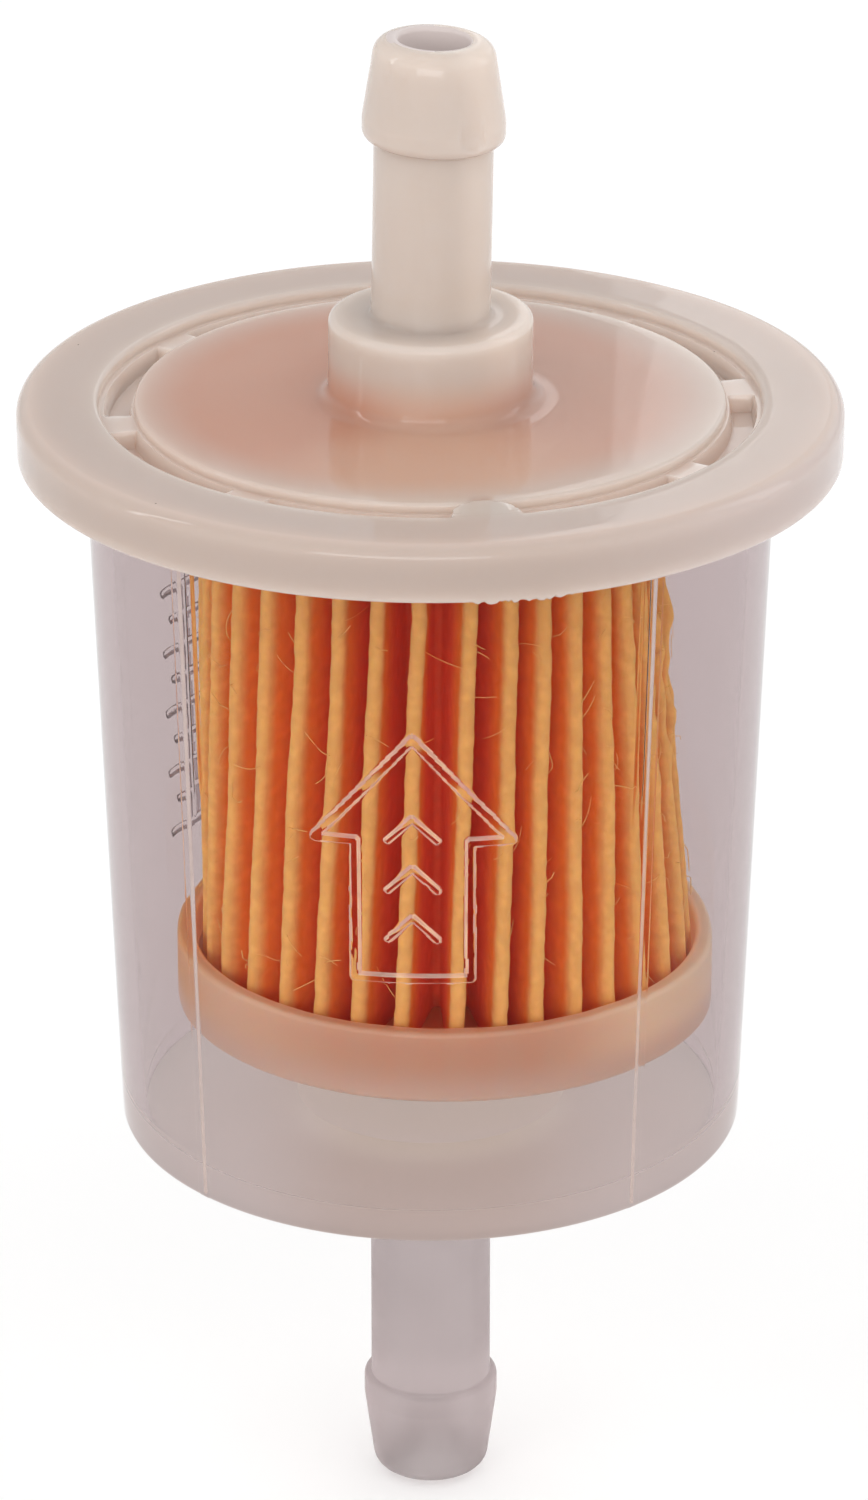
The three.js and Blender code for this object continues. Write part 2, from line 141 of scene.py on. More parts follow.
PLEAT_COUNT = 35
FIRST_PLEAT = 5
PLEAT_TWIST = 0.35 # degrees per mm of height
UNTWISTED_Z = 53 # where the folds stand at their own azimuths
PAPER_T = 0.35
PLEAT_FOOT_R = half_width(PAPER)
PLEAT_TOP_R = PLEAT_FOOT_R - 1.3
PLEAT_INNER_R = 7.0
RIDGE_FOLD_R = 0.22
VALLEY_FOLD_R = 0.42
LEAN = (END_CAP[0].x + END_CAP[1].x) / 2
PAPER_TOP_X = -0.23 # where the paper's middle is at its top and at its foot
PAPER_FOOT_X = LEAN + 0.15
FIBRE_COUNT = 260
SEAM_PLEAT = 7 # the glued seam lies between this fold and the next
CUP_WALL = 0.95
CUP_FLOOR_T = 1.2
POTTING_INNER_R = 6.3

# ---------------------------------------------------------------------------------------------
# Mesh helpers
# ---------------------------------------------------------------------------------------------


def facing(azimuth):
    a = math.radians(azimuth)
    return Vector((math.sin(a), -math.cos(a), 0))


def wrapped(degrees):
    return (degrees + 180) % 360 - 180


def smooth(low, high, x):
    """0 below low, 1 above high, and a smooth step between. low may be the larger."""
    t = min(max((x - low) / (high - low), 0), 1)
    return t * t * (3 - 2 * t)


def ripple(x, y=0.0, z=0.0):
    """Smooth noise from about -1 to 1, the same on every run."""
    return noise.noise(Vector((x, y, z)))


def rounded(corners, steps=6):
    """A closed outline through (radius, height[, rounding]) corners, with an arc at each rounded one."""
    points = []
    for i, corner in enumerate(corners):
        here = Vector(corner[:2])
        if len(corner) < 3:
            points.append(here)
            continue
        back = (Vector(corners[i - 1][:2]) - here).normalized()
        ahead = (Vector(corners[(i + 1) % len(corners)][:2]) - here).normalized()
        half = back.angle(ahead) / 2
        centre = here + (back + ahead).normalized() * corner[2] / math.sin(half)
        start = here + back * corner[2] / math.tan(half) - centre
        end = here + ahead * corner[2] / math.tan(half) - centre
        sweep = start.angle_signed(end)
        for k in range(steps + 1):
            turn = -sweep * k / steps
            turned_start = Vector((
                start.x * math.cos(turn) - start.y * math.sin(turn),
                start.x * math.sin(turn) + start.y * math.cos(turn),
            ))
            points.append(centre + turned_start)
    return points


def spread(points, longest, chosen=None):
    """The closed outline with its long edges split into pieces of at most longest.

    chosen(start, end) picks the edges to split. Without it, all of them are.
    """
    fine = []
    for i, p in enumerate(points):
        ahead = points[(i + 1) % len(points)]
        split = chosen is None or chosen(p, ahead)
        pieces = max(1, math.ceil((ahead - p).length / longest)) if split else 1
        fine += [p.lerp(ahead, k / pieces) for k in range(pieces)]
    return fine


def arc(centre, out, side, r, start, sweep, steps):
    """Points on a circle round centre. Angle 0 lies along out, and 90 degrees along side."""
    angles = [math.radians(start + sweep * k / steps) for k in range(steps + 1)]
    return [centre + out * r * math.cos(a) + side * r * math.sin(a) for a in angles]


def azimuths(coarse, patches=()):
    """Azimuths round the axis, coarse degrees apart, or closer in (centre, half width, step) patches."""
    wanted = [-180 + coarse * k for k in range(round(360 / coarse))]
    wanted = [a for a in wanted if all(abs(wrapped(a - centre)) > half for centre, half, _ in patches)]
    for centre, half, step in patches:
        pieces = math.ceil(2 * half / step)
        wanted += [wrapped(centre - half + 2 * half * k / pieces) for k in range(pieces + 1)]
    found = []
    for a in sorted(wanted):
        if not found or a - found[-1] > 0.04:
            found.append(a)
    return found


def piece(name, points, faces, material, node, sharp_deg=40):
    """A finished piece from points in mm. It rides on the root body and stands for a CAD node."""
    mesh = bpy.data.meshes.new(name)
    mesh.from_pydata([p * MM for p in points], [], faces)
    work = bmesh.new()
    work.from_mesh(mesh)
    bmesh.ops.recalc_face_normals(work, faces=work.faces)
    work.to_mesh(mesh)
    work.free()
    mesh.polygons.foreach_set("use_smooth", [True] * len(mesh.polygons))
    mesh.set_sharp_from_angle(angle=math.radians(sharp_deg))
    made = bpy.data.objects.new(name, mesh)
    bpy.context.collection.objects.link(made)
    made.data.materials.append(material)
    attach(made, "root")
    if node:
        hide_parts(node)
    return made


def turned(outline, angles, move=None):
    """The points and faces of a closed outline turned round the axis. move may shift each point."""
    n = len(outline)
    points = []
    for azimuth in angles:
        out = facing(azimuth)
        for r, z in outline:
            point = out * r + Vector((0, 0, z))
            points.append(move(point, r, z, azimuth) if move else point)
    faces = []
    for i in range(len(angles)):
        j = (i + 1) % len(angles)
        for k in range(n):
            m = (k + 1) % n
            faces.append((i * n + k, j * n + k, j * n + m, i * n + m))
    return points, faces


def spigot(rootz, tipz, out, shank_r, barb_r, tip_r, edge_r, widest_at, shoulder_at):
    """Corners of a hose spigot from its root to the bore's mouth. out is 1 if it points up."""
    return [
        (shank_r, rootz, 0.3),
        (shank_r, tipz - out * (shoulder_at + 0.1), 0.12),
        (barb_r, tipz - out * shoulder_at, edge_r),
        (barb_r, tipz - out * widest_at, 1.6),
        (tip_r, tipz, TIP_ROUND),
        (BORE_R, tipz, 0.24),
    ]


# ---------------------------------------------------------------------------------------------
# Material helpers
# ---------------------------------------------------------------------------------------------


def add(tree, kind, settings=None, **inputs):
    """A node with its settings and inputs. An input is a plain value or another node's socket."""
    made = tree.nodes.new(kind)
    for key, value in (settings or {}).items():
        setattr(made, key, value)
    for key, value in inputs.items():
        socket = made.inputs[int(key[1:])] if key[0] == "_" else made.inputs[key.replace("_", " ")]
        if isinstance(value, bpy.types.NodeSocket):
            tree.links.new(value, socket)
        else:
            socket.default_value = value
    return made


def new_material(name):
    made = bpy.data.materials.new(name)
    made.use_nodes = True
    made.node_tree.nodes.clear()
    return made, made.node_tree


def maths(tree, operation, a, b=0.0):
    return add(tree, "ShaderNodeMath", {"operation": operation}, _0=a, _1=b).outputs[0]


def vectors(tree, operation, a, b):
    return add(tree, "ShaderNodeVectorMath", {"operation": operation}, _0=a, _1=b).outputs[0]


def product(tree, first, *others):
    for value in others:
        first = maths(tree, "MULTIPLY", first, value)
    return first


def mapped(tree, value, low, high, to_low=0.0, to_high=1.0):
    """value from low..high to to_low..to_high, with a smooth step between."""
    return add(
        tree, "ShaderNodeMapRange", {"interpolation_type": "SMOOTHSTEP"},
        Value=value, From_Min=low, From_Max=high, To_Min=to_low, To_Max=to_high,
    ).outputs[0]


def blended(tree, share, a, b):
    """A colour from a to b by share."""
    mix = add(tree, "ShaderNodeMix", {"data_type": "RGBA"}, _0=share)
    for socket, value in ((mix.inputs[6], a), (mix.inputs[7], b)):
        if isinstance(value, bpy.types.NodeSocket):
            tree.links.new(value, socket)
        else:
            socket.default_value = (*value, 1)
    return mix.outputs[2]


def scaled(tree, colour, factor):
    return add(
        tree, "ShaderNodeVectorMath", {"operation": "SCALE"}, _0=colour, Scale=factor
    ).outputs[0]


def bumps(tree, height, strength, depth):
    """The normal of a bumpy surface. height runs from 0 to 1, and depth is in mm."""
    return add(
        tree, "ShaderNodeBump", Strength=strength, Distance=depth * MM, Height=height
    ).outputs[0]


def place(tree, centre_x=0.0):
    """Where the shaded point is, in metres: its position, radius, height and azimuth (radians)."""
    position = add(tree, "ShaderNodeTexCoord").outputs["Object"]
    shifted = vectors(tree, "SUBTRACT", position, (centre_x, 0, 0))
    parts = add(tree, "ShaderNodeSeparateXYZ", Vector=shifted)
    x, y, z = parts.outputs
    squared = maths(tree, "ADD", product(tree, x, x), product(tree, y, y))
    radius = maths(tree, "SQRT", squared)
    azimuth = maths(tree, "ARCTAN2", x, product(tree, y, -1.0))
    return position, radius, z, azimuth


def grain(tree, position, scale, detail=3.0, roughness=0.55, stretch=(1, 1, 1)):
    """Noise from 0 to 1 with about scale lumps per metre."""
    at = add(
        tree, "ShaderNodeMapping", {"vector_type": "POINT"}, Vector=position, Scale=stretch
    ).outputs[0]
    return add(
        tree, "ShaderNodeTexNoise", Vector=at, Scale=scale, Detail=detail, Roughness=roughness
    ).outputs[0]


def finish_surface(tree, shader):
    add(tree, "ShaderNodeOutputMaterial", Surface=shader)


# ---------------------------------------------------------------------------------------------
# Materials
# ---------------------------------------------------------------------------------------------

# The cap: its body, with painted light and shade, and the blush over the web where the paper shows
# through
IVORY = (0.50, 0.43, 0.385)
IVORY_SHADE = (0.485, 0.41, 0.36)
IVORY_FLANGE = (0.485, 0.395, 0.35)
# Painted shade darkens the flange's rim, and painted light makes the rim's right side paler
IVORY_RIM_SHADED = (0.41, 0.335, 0.295)
IVORY_RIM_LIT_RIGHT = (0.46, 0.385, 0.36)
# Painted light in the drive ring's groove, which lifts the shade there
GROOVE_PAINTED_LIGHT = (0.62, 0.51, 0.45)
BLUSH = (0.54, 0.33, 0.24)
# Painted shade on the blush's left side and painted light on its right side
BLUSH_LEFT_SHADED = (0.495, 0.25, 0.17)
BLUSH_RIGHT_LIGHTING = (0.495, 0.286, 0.217)
BLUSH_X = -0.6 # the middle of the blush
SPECK = (0.03, 0.025, 0.02)
BORE = (0.50, 0.43, 0.41)
BORE_SHADE = (0.46, 0.40, 0.38)
BORE_GLOW = (0.60, 0.54, 0.53)

# The bowl: tints for light that goes in and out, and its cloudy floor
SMOKE = (0.486, 0.398, 0.398)
SMOKE_THICK = (0.452, 0.382, 0.382)
SMOKE_BARB = (0.51, 0.43, 0.43)
SMOKE_TIP_SHADE = (0.12, 0.10, 0.10)
UNTINTED = (0.98, 0.98, 0.98)
FROSTED = dict(roughness=0.6, ior=1.3)
CLOUDY_MIDDLE = (0.49, 0.435, 0.395)
CLOUDY_EDGE = (0.50, 0.45, 0.435)
CLOUDY_GLOW_MIDDLE = (0.285, 0.272, 0.245)
CLOUDY_GLOW_SIDES = (0.355, 0.365, 0.36)
CLOUDY_GLOW_TOP = (0.38, 0.39, 0.37)

# The sides of the bowl's raised marks, in painted shade and painted highlight that stand for the light
# bent and reflected at them
MOULD_LINE_SHADE_AND_HIGHLIGHT = ((0.44, 0.33, 0.29), (0.57, 0.46, 0.42))
FRONT_MARK_SHADE_AND_HIGHLIGHT = ((0.50, 0.34, 0.26), (0.86, 0.68, 0.58))
BACK_MARK_PAINTED_SHADE = ((0.26, 0.20, 0.22), (0.44, 0.36, 0.38))

# The element: paper, end cap and adhesive
RIDGE_ORANGE = (0.86, 0.475, 0.15)
# The flank and valley colours are painted shade down in the folds
SHADED_FLANK_ORANGE = (0.88, 0.215, 0.033)
SHADED_VALLEY_RED = (0.86, 0.14, 0.055)
# The cup's side, right and far-left colours and its glow are painted light
CUP_FRONT = (0.60, 0.345, 0.218)
CUP_STREAK = (0.585, 0.375, 0.253)
CUP_SIDE_SHEEN = (0.70, 0.48, 0.33)
CUP_LIT_RIGHT = (0.88, 0.63, 0.44)
CUP_FAR_LEFT_LIGHTING = (0.70, 0.34, 0.11)
CUP_FOOT = (0.62, 0.46, 0.37)
CUP_GLOW = (0.82, 0.42, 0.20)
AMBER = (0.72, 0.38, 0.15)
AMBER_DARK = (0.62, 0.27, 0.09)

STUDIO_GREY = (0.86, 0.86, 0.86)
STUDIO_WHITE = (0.88, 0.88, 0.88)


def specked(tree, position, colour, spacing=3.2, share=0.5, size=0.055):
    """The colour with a few tiny dark specks, about spacing mm apart."""
    cells = add(tree, "ShaderNodeTexVoronoi", Vector=position, Scale=1 / (spacing * MM))
    lot = add(tree, "ShaderNodeSeparateColor", Color=cells.outputs["Color"]).outputs[0]
    picked = mapped(tree, lot, 1 - share, 1 - share + 0.01)
    near = mapped(tree, cells.outputs["Distance"], size / spacing, size / spacing * 0.6)
    return blended(tree, product(tree, picked, near), colour, SPECK)


def cap_body(tree, position, radius, painted_light_right):
    """The cap's colour, with painted light paler on the right of the boss and the spigot, painted shade
    darker round the rim, and painted light paler again on the rim's right.
    """
    cloud = grain(tree, position, 120)
    body = blended(tree, mapped(tree, cloud, 0.35, 0.7), IVORY, IVORY_SHADE)
    on_boss = mapped(tree, radius, 8 * MM, 7 * MM)
    lit = mapped(tree, product(tree, painted_light_right, on_boss), 0.0, 1.0, 1.0, 1.17)
    body = scaled(tree, body, lit)
    body = blended(tree, mapped(tree, radius, 17 * MM, 19 * MM), body, IVORY_FLANGE)
    rim = blended(tree, painted_light_right, IVORY_RIM_SHADED, IVORY_RIM_LIT_RIGHT)
    on_rim = mapped(tree, radius, (FLANGE_R - 0.7) * MM, (FLANGE_R - 0.15) * MM)
    return blended(tree, on_rim, body, rim)


def with_blush(tree, body, position, z, azimuth, painted_light_right):
    """The colour, but warm over the web, where the orange paper shows through. The warmth is darker on
    the left, a painted shade, and changes again on the right, a painted light.
    """
    _, off_middle, _, _ = place(tree, BLUSH_X * MM)
    over_paper = mapped(tree, off_middle, 17.2 * MM, 12.0 * MM)
    near_web = mapped(tree, z, (FLANGE_TOP_Z + 3.2) * MM, (FLANGE_TOP_Z + 0.2) * MM)
    uneven = mapped(tree, grain(tree, position, 90, 2.0), 0.2, 0.8, 0.88, 1.0)
    shaded_left = mapped(tree, azimuth, math.radians(-10), math.radians(-50))
    blush = blended(tree, painted_light_right, blended(tree, shaded_left, BLUSH, BLUSH_LEFT_SHADED), BLUSH_RIGHT_LIGHTING)
    return blended(tree, product(tree, over_paper, near_web, uneven), body, blush)


def drive_ring_share(tree, radius, z):
    """1 down in the drive ring's groove and 0 outside it."""
    off_ring = maths(tree, "ABSOLUTE", maths(tree, "SUBTRACT", radius, DRIVE_RING_MIDDLE_R * MM))
    in_ring = mapped(tree, off_ring, (DRIVE_RING_HALF_W + 0.15) * MM, (DRIVE_RING_HALF_W - 0.15) * MM)
    low = mapped(tree, z, FLANGE_TOP_Z * MM, (FLANGE_TOP_Z - 0.35) * MM)
    above_flange_foot = mapped(tree, z, (FLANGE_TOP_Z - 2.0) * MM, (FLANGE_TOP_Z - 1.9) * MM)
    return product(tree, in_ring, low, above_flange_foot)


def milky_nylon():
    """Milky moulded nylon. The drive ring's groove is painted paler and glows a little, a painted light
    that lifts the shade down in it.
    """
    made, tree = new_material("milky_nylon")
    position, radius, z, azimuth = place(tree)
    # Painted light: a mask that grows towards the right, where the colours are made paler
    painted_light_right = mapped(tree, azimuth, math.radians(10), math.radians(60))
    body = cap_body(tree, position, radius, painted_light_right)
    warmed = with_blush(tree, body, position, z, azimuth, painted_light_right)
    groove = drive_ring_share(tree, radius, z)
    colour = specked(tree, position, blended(tree, groove, warmed, GROOVE_PAINTED_LIGHT))
    rough = mapped(tree, grain(tree, position, 400), 0.3, 0.7, 0.015, 0.035)
    relief = bumps(tree, grain(tree, position, 300, 4.0), 0.02, 0.05)
    shader = add(
        tree, "ShaderNodeBsdfPrincipled", Base_Color=colour, Roughness=rough, Normal=relief, IOR=1.38,
        Subsurface_Weight=1.0, Subsurface_Radius=(1.0, 0.92, 0.85), Subsurface_Scale=4.0 * MM,
        Emission_Color=(*GROOVE_PAINTED_LIGHT, 1), Emission_Strength=product(tree, groove, 0.05),
    )
    finish_surface(tree, shader.outputs[0])
    return made


def glowing_bore():
    """The inside of the outlet's bore, which is bright with the light that comes through its wall."""
    made, tree = new_material("milky_nylon_bore")
    position, _, _, _ = place(tree)
    colour = blended(tree, grain(tree, position, 300), BORE, BORE_SHADE)
    shader = add(
        tree, "ShaderNodeBsdfPrincipled", Base_Color=colour, Roughness=0.3, IOR=1.38,
        Emission_Color=(*BORE_GLOW, 1), Emission_Strength=0.2,
    )
    finish_surface(tree, shader.outputs[0])
    return made


def lamps_through(tree, shader):
    """The shader, but open to the rays that look for lamps, so that it throws no hard shadow."""
    open_way = add(tree, "ShaderNodeBsdfTransparent", Color=(1, 1, 1, 1))
    shadow_ray = add(tree, "ShaderNodeLightPath").outputs["Is Shadow Ray"]
    return add(
        tree, "ShaderNodeMixShader", _0=shadow_ray, _1=shader, _2=open_way.outputs[0]
    ).outputs[0]


def clear_nylon(name, tint, roughness, ior=1.15, barb_tint=None):
    """Clear nylon. tint is for light that goes in and out again, and lamps reach through it.

    barb_tint is for the lower spigot's barb, and the very tip is darker still, in painted shade. ior is
    lower than nylon's own, which keeps the white floor's reflection off the dark paper.
    """
    made, tree = new_material(name)
    position, _, z, _ = place(tree)
    streak = grain(tree, position, 60, 2.0, 0.5, (1, 1, 0.15))
    colour = blended(tree, streak, tuple(c * 0.985 for c in tint), tuple(c * 1.015 for c in tint))
    if barb_tint:
        colour = blended(tree, mapped(tree, z, 9 * MM, 7 * MM), colour, barb_tint)
    # Painted shade: the nylon darkens towards the lower spigot's tip
    near_tip = mapped(tree, z, 4 * MM, 0.0, 0.0, 0.35)
    colour = blended(tree, near_tip, colour, SMOKE_TIP_SHADE)
    rough = mapped(tree, grain(tree, position, 250), 0.3, 0.8, roughness * 0.7, roughness * 1.3)
    relief = bumps(tree, grain(tree, position, 160, 2.0), 0.1, 0.05)
    glass = add(
        tree, "ShaderNodeBsdfPrincipled", Base_Color=colour, Roughness=rough, Normal=relief, IOR=ior,
        Transmission_Weight=1.0,
    )
    finish_surface(tree, lamps_through(tree, glass.outputs[0]))
    return made


def cloudy_nylon():
    """The bowl's cloudy floor. Its glow is painted light that stands for the light inside it, brighter
    at the sides. Its colour is warmer in the middle, a painted warm light from the orange paper above.
    """
    made, tree = new_material("cloudy_nylon")
    position, radius, z, azimuth = place(tree)
    cloud = product(tree, maths(tree, "SUBTRACT", grain(tree, position, 130), 0.5), 3 * MM)
    ragged = maths(tree, "ADD", radius, cloud)
    # Warmer in the middle: painted warm light from the orange paper above
    colour = blended(tree, mapped(tree, ragged, 5 * MM, 9 * MM), CLOUDY_MIDDLE, CLOUDY_EDGE)
    sideways = maths(tree, "ABSOLUTE", product(tree, ragged, maths(tree, "SINE", azimuth)))
    to_side = mapped(tree, sideways, 3 * MM, 11 * MM)
    underside = blended(tree, to_side, CLOUDY_GLOW_MIDDLE, CLOUDY_GLOW_SIDES)
    on_top = mapped(tree, z, FLOOR_UNDER_Z * MM, (FLOOR_UNDER_Z + FLOOR_T) * MM)
    glow = blended(tree, on_top, underside, CLOUDY_GLOW_TOP)
    rough = mapped(tree, grain(tree, position, 250), 0.3, 0.8, 0.45, 0.6)
    shader = add(
        tree, "ShaderNodeBsdfPrincipled", Base_Color=colour, Roughness=rough, IOR=1.15,
        Emission_Color=glow, Emission_Strength=1.0,
    )
    finish_surface(tree, lamps_through(tree, shader.outputs[0]))
    return made


def mark_edges(name, dark, pale):
    """The steep sides of the bowl's raised marks, where the light bends out of its way. Their colour is
    painted shade and painted highlight that stand for that light.
    """
    made, tree = new_material(name)
    position, _, _, _ = place(tree)
    colour = blended(tree, grain(tree, position, 900), dark, pale)
    glass = add(
        tree, "ShaderNodeBsdfPrincipled", Base_Color=colour, Roughness=0.2, IOR=1.45,
        Transmission_Weight=0.55,
    )
    finish_surface(tree, lamps_through(tree, glass.outputs[0]))
    return made


def below_ridge(tree, position, z):
    """How far in the shaded point lies from the folds' ridges, which lean and widen downwards."""
    foot, top = PAPER[0].z, PAPER[1].z
    down = maths(tree, "DIVIDE", maths(tree, "SUBTRACT", top * MM, z), (top - foot) * MM)
    lean = product(tree, down, (PAPER_FOOT_X - PAPER_TOP_X) * MM)
    lean = maths(tree, "ADD", lean, PAPER_TOP_X * MM)
    shift = add(tree, "ShaderNodeCombineXYZ", X=lean, Y=0.0, Z=0.0).outputs[0]
    flat = vectors(tree, "MULTIPLY", vectors(tree, "SUBTRACT", position, shift), (1, 1, 0))
    radius = add(tree, "ShaderNodeVectorMath", {"operation": "LENGTH"}, _0=flat).outputs["Value"]
    widened = product(tree, down, (PLEAT_FOOT_R - PLEAT_TOP_R) * MM)
    ridge_r = maths(tree, "ADD", PLEAT_TOP_R * MM, widened)
    return maths(tree, "SUBTRACT", ridge_r, radius)


def orange_paper():
    """Filter paper: bright along the folds' ridges, with painted shade that turns it darker and deep red
    down the flanks and in the valleys.
    """
    made, tree = new_material("orange_paper")
    position, _, z, _ = place(tree)
    depth = below_ridge(tree, position, z)
    fibres = maths(tree, "SUBTRACT", grain(tree, position, 900, 5.0, 0.65, (1, 1, 0.35)), 0.5)
    ragged = maths(tree, "ADD", depth, product(tree, fibres, 0.35 * MM))
    flank = blended(tree, mapped(tree, ragged, 0.15 * MM, 1.0 * MM), RIDGE_ORANGE, SHADED_FLANK_ORANGE)
    colour = blended(tree, mapped(tree, ragged, 0.8 * MM, 3.5 * MM), flank, SHADED_VALLEY_RED)
    speckle = mapped(tree, grain(tree, position, 1600, 4.0), 0.35, 0.75, 0.9, 1.08)
    colour = scaled(tree, colour, speckle)
    relief = bumps(tree, grain(tree, position, 1300, 6.0, 0.7, (1, 1, 0.5)), 0.6, 0.08)
    shader = add(
        tree, "ShaderNodeBsdfPrincipled", Base_Color=colour, Roughness=0.95, Normal=relief, IOR=1.4,
        Specular_IOR_Level=0.1,
        Subsurface_Weight=0.5, Subsurface_Radius=(1.0, 0.4, 0.15), Subsurface_Scale=0.8 * MM,
    )
    finish_surface(tree, shader.outputs[0])
    return made


def end_cap_nylon():
    """Milky nylon with the orange pleats behind it showing as soft upright streaks. Its colour also
    holds painted light: a painted sheen paler at the sides, where it is seen at a slant, paler still on
    the right, warmer on the far left, and a faint painted glow inside its wall that lifts the shade
    between wall and paper.
    """
    made, tree = new_material("end_cap_nylon")
    position, radius, z, azimuth = place(tree, LEAN * MM)
    foot, rim = END_CAP[0].z, END_CAP[1].z
    wave = maths(tree, "SINE", product(tree, azimuth, float(PLEAT_COUNT)))
    streaks = mapped(tree, wave, -1.0, 1.0, 0.0, 0.35)
    cloud = grain(tree, position, 160)
    share = maths(tree, "ADD", streaks, product(tree, cloud, 0.5))
    front = blended(tree, share, CUP_FRONT, CUP_STREAK)
    side = mapped(tree, maths(tree, "ABSOLUTE", azimuth), math.radians(15), math.radians(50))
    # Painted light: paler towards the right, warmer on the far left
    painted_light_right = mapped(tree, azimuth, 0.0, math.radians(40))
    pale = blended(tree, painted_light_right, CUP_SIDE_SHEEN, CUP_LIT_RIGHT)
    far_left = mapped(tree, azimuth, math.radians(-50), math.radians(-85))
    upper = blended(tree, side, front, blended(tree, far_left, pale, CUP_FAR_LEFT_LIGHTING))
    wall_middle = half_width(END_CAP) - 0.6
    inside = mapped(tree, radius, (wall_middle + 0.1) * MM, (wall_middle - 0.2) * MM)
    above_bottom = mapped(tree, z, (foot + 0.7) * MM, (foot + 1.2) * MM)
    glow = product(tree, inside, above_bottom, 0.22)
    near_foot = mapped(tree, z, (rim - 1.6) * MM, (foot + 0.3) * MM)
    colour = blended(tree, near_foot, upper, CUP_FOOT)
    relief = bumps(tree, grain(tree, position, 500, 4.0), 0.1, 0.05)
    shader = add(
        tree, "ShaderNodeBsdfPrincipled", Base_Color=colour, Roughness=0.4, Normal=relief, IOR=1.5,
        Subsurface_Weight=1.0, Subsurface_Radius=(1.0, 0.7, 0.5), Subsurface_Scale=2.5 * MM,
        Emission_Color=(*CUP_GLOW, 1), Emission_Strength=glow,
    )
    finish_surface(tree, shader.outputs[0])
    return made


def amber_potting():
    """Set adhesive, a little darker here and there."""
    made, tree = new_material("amber_potting")
    position, _, _, _ = place(tree)
    colour = blended(tree, grain(tree, position, 300), AMBER, AMBER_DARK)
    relief = bumps(tree, grain(tree, position, 400, 3.0), 0.3, 0.1)
    shader = add(
        tree, "ShaderNodeBsdfPrincipled", Base_Color=colour, Roughness=0.35, Normal=relief, IOR=1.5,
    )
    finish_surface(tree, shader.outputs[0])
    return made


def pale_floor():
    made, tree = new_material("pale_floor")
    position = add(tree, "ShaderNodeTexCoord").outputs["Object"]
    colour = blended(tree, grain(tree, position, 40), STUDIO_GREY, STUDIO_WHITE)
    shader = add(
        tree, "ShaderNodeBsdfPrincipled", Base_Color=colour, Roughness=0.9, Specular_IOR_Level=0.1,
        Emission_Color=(1, 1, 1, 1), Emission_Strength=0.08,
    )
    finish_surface(tree, shader.outputs[0])
    return made


# ---------------------------------------------------------------------------------------------
# Outlet cap
# ---------------------------------------------------------------------------------------------

POCKET_EDGE = 0.2 # how wide a pocket's wall is, with its rounded edges
DISC_Z = FLANGE_TOP_Z - 0.08 # the disc inside the drive ring is this high
DRIVE_RING_Z = FLANGE_TOP_Z - DRIVE_RING_DEPTH
FLASH = dict(azimuth=13, full_deg=4, none_deg=10, drop=0.42) # crumbs under the flange's rim
DENT = dict(azimuth=34, below_tip=4.3, r=0.95, depth=0.11) # left in the barb by the mould
FLANGE_WARP = 0.02
OUTLET_LEAN = 0.22
OUTLET_TIP_SLANT = 0.045


def from_gate_pad(r, azimuth):
    """How far a place on the cap is from the gate pad's edge. It is negative on the pad."""
    return (facing(azimuth) * r - facing(POCKET_RIB_AZIMUTH) * GATE_PAD_AT_R).length - GATE_PAD_R


def pocket_share(r, azimuth):
    """1 on a pocket's floor and 0 outside it."""
    across = min(smooth(POCKET_INNER_R, POCKET_INNER_R + POCKET_EDGE, r),
                 smooth(POCKET_OUTER_R, POCKET_OUTER_R - POCKET_EDGE, r))
    pitch = 360 / POCKET_COUNT
    off_rib = abs((azimuth - POCKET_RIB_AZIMUTH + pitch / 2) % pitch - pitch / 2)
    beside = math.radians(off_rib - POCKET_RIB_DEG / 2) * r
    return across * smooth(0, POCKET_EDGE, beside)


def sink_pockets(point, r, z, azimuth):
    """Sinks the pockets into the drive ring's floor, and fills the ring in under the gate pad."""
    if z < DRIVE_RING_Z + 0.01:
        point.z -= (POCKET_DEPTH - DRIVE_RING_DEPTH) * pocket_share(r, azimuth)
    on_pad = smooth(GATE_PAD_EDGE, -GATE_PAD_EDGE, from_gate_pad(r, azimuth))
    point.z += (FLANGE_TOP_Z - point.z) * GATE_PAD_FILL * on_pad


def hang_flash(point, z, azimuth):
    """Hangs ragged crumbs of flash from the flange's lower edge."""
    near = smooth(FLASH["none_deg"], FLASH["full_deg"], abs(wrapped(azimuth - FLASH["azimuth"])))
    ragged = max(0, ripple(azimuth * 0.55, 3.1)) + 0.5 * max(0, ripple(azimuth * 1.9, 7.7))
    point.z -= FLASH["drop"] * near * ragged * smooth(FLANGE_UNDER_Z + 0.6, FLANGE_UNDER_Z, z)


def press_dent(point, r, z, azimuth):
    across = math.radians(wrapped(azimuth - DENT["azimuth"])) * r
    off = math.hypot(across, z - OUTLET_TIP_Z + DENT["below_tip"]) / DENT["r"]
    point -= facing(azimuth) * DENT["depth"] * smooth(1, 0.7, off)


def lean_outlet(point, z):
    """Leans the outlet spigot and slants its tip, as it came out of its mould."""
    share = smooth(BOSS_TOP_Z - 4, OUTLET_TIP_Z, z)
    point.x += OUTLET_LEAN * share
    point.z -= OUTLET_TIP_SLANT * point.x * smooth(OUTLET_TIP_Z - 9, OUTLET_TIP_Z - 5, z)


def cap_point(point, r, z, azimuth):
    """A point of the turned cap, moved to where the real moulding isn't quite round."""
    if DRIVE_RING_INNER_R - 0.3 < r < DRIVE_RING_OUTER_R + 0.3 and z > DRIVE_RING_Z - 0.01:
        sink_pockets(point, r, z, azimuth)
    if r > 20 and z < FLANGE_UNDER_Z + 0.6:
        hang_flash(point, z, azimuth)
    if r > 15:
        point.z += FLANGE_WARP * ripple(azimuth * 0.05, r * 0.2)
    if z > OUTLET_TIP_Z - 7 and r > OUTLET["shank_r"] - 0.1:
        press_dent(point, r, z, azimuth)
    lean_outlet(point, z)
    return point


def on_ring_floor(start, end):
    return abs(start.y - DRIVE_RING_Z) < 0.01 and abs(end.y - DRIVE_RING_Z) < 0.01


